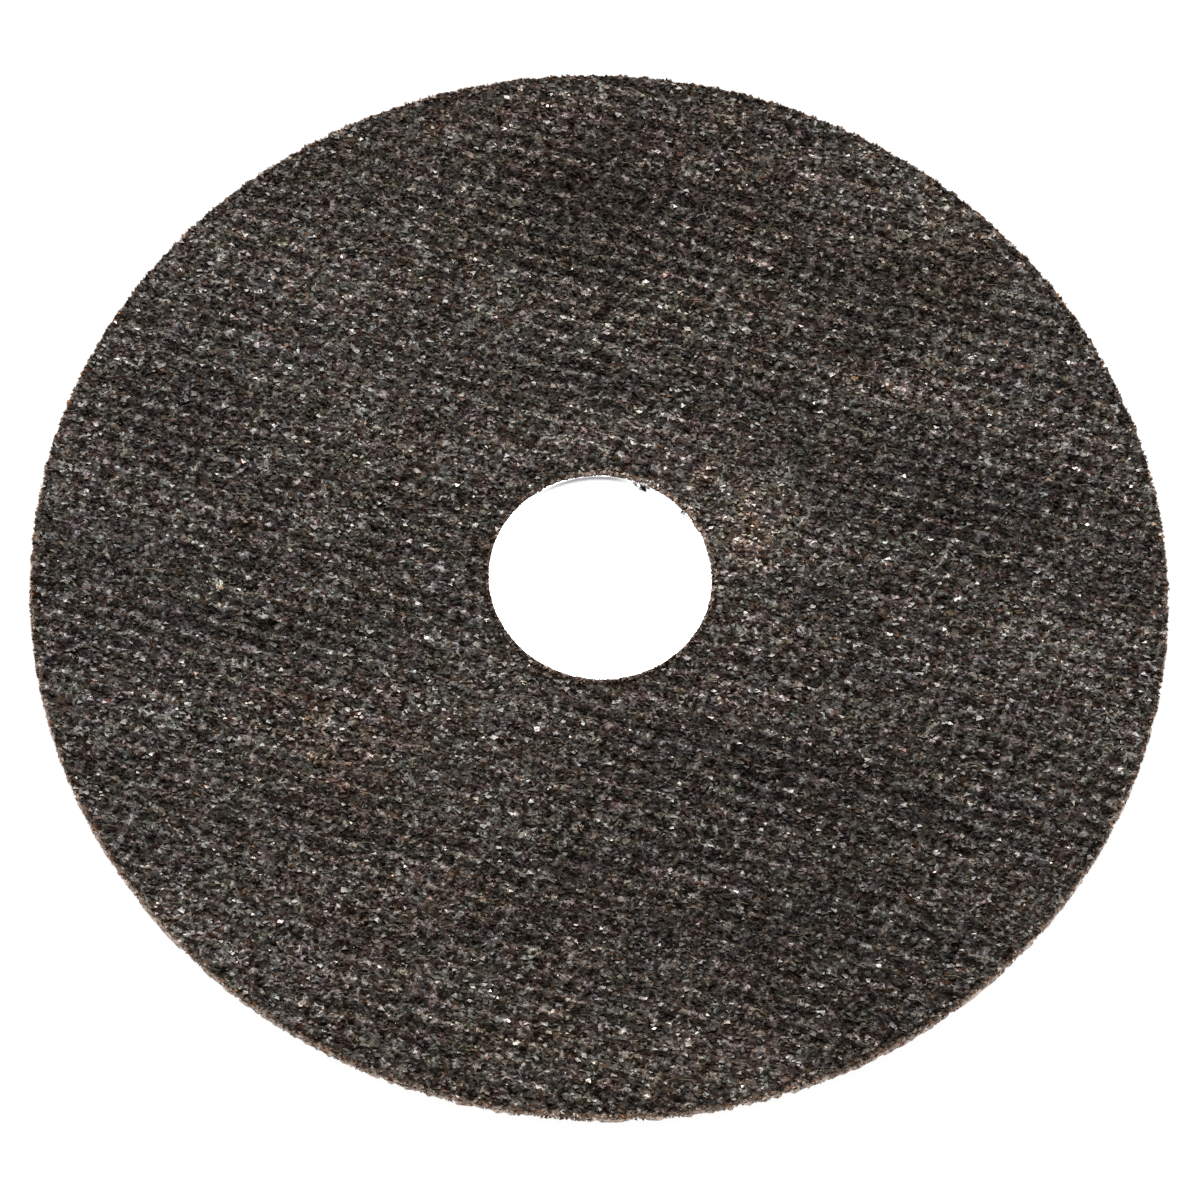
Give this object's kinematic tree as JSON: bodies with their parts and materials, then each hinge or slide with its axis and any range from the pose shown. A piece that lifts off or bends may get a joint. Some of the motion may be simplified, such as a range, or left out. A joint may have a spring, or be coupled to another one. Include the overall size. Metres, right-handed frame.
{
  "type": "cut off wheel",
  "caption": "Thin flat abrasive cut off wheel: a round black grit disc with a central arbor hole lined by a flanged steel ring.",
  "frame": {"origin": "centre of the arbor hole, in the plane of the underside", "axes": "+Z along the wheel's axis, out of the plain face that the picture shows; X and Y lie in the wheel's plane, and any turn about Z is the same"},
  "size_m": [0.115, 0.115, 0.0016],
  "materials": {
    "resin_bonded_grit": "coarse black abrasive grit in resin, with a faint cloth mesh in the face and a brown rim",
    "tinned_steel": "bright tin plate"
  },
  "bodies": {
    "root": {"abrasive_disc": "resin_bonded_grit", "arbor_ring": "tinned_steel"}
  },
  "joints": []
}
